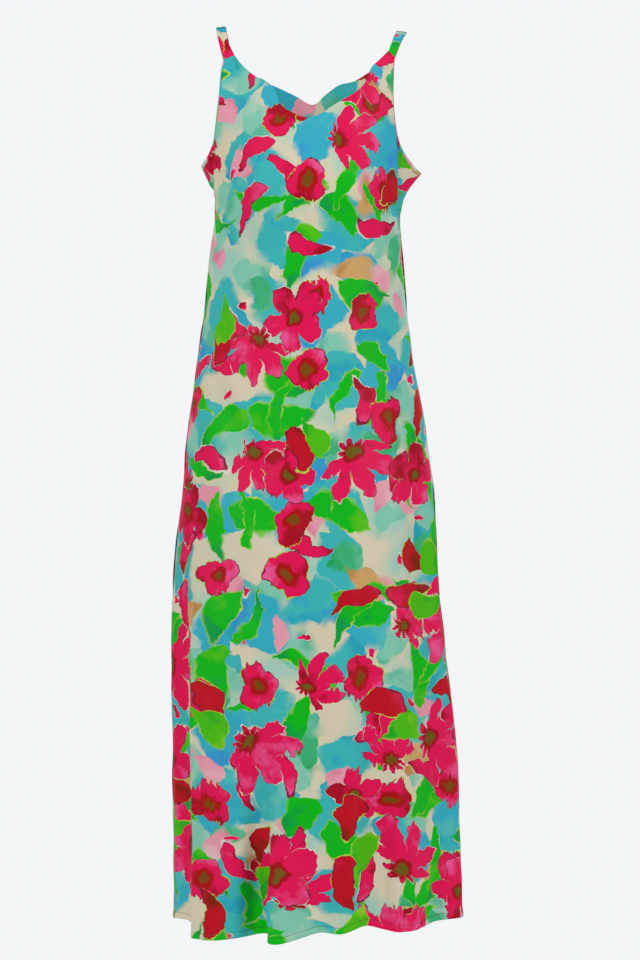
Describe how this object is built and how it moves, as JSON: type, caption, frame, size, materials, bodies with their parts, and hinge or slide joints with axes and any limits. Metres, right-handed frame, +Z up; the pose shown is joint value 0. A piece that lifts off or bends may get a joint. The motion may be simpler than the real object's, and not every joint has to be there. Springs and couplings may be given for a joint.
{
  "type": "sundress",
  "caption": "Ankle-length slip sundress in printed satin: V neck, narrow shoulder straps, open armholes and a flared skirt, hollow as worn.",
  "frame": {"origin": "shoulders: midway between the tops of the two straps, where the wearer holds the dress up", "axes": "+Z up, the dress hangs along -Z; -Y is the front; +X is to the right as the front is seen"},
  "size_m": [0.431, 0.3245, 1.3369],
  "materials": {
    "printed_satin": "soft satin, painted flower print in pink, green and turquoise on cream",
    "strap_satin": "soft satin, same print, cut as narrow strips"
  },
  "bodies": {
    "root": {"front": "printed_satin", "back": "printed_satin", "strap_left": "strap_satin", "strap_right": "strap_satin", "binding_left": "strap_satin", "binding_right": "strap_satin"}
  },
  "joints": []
}
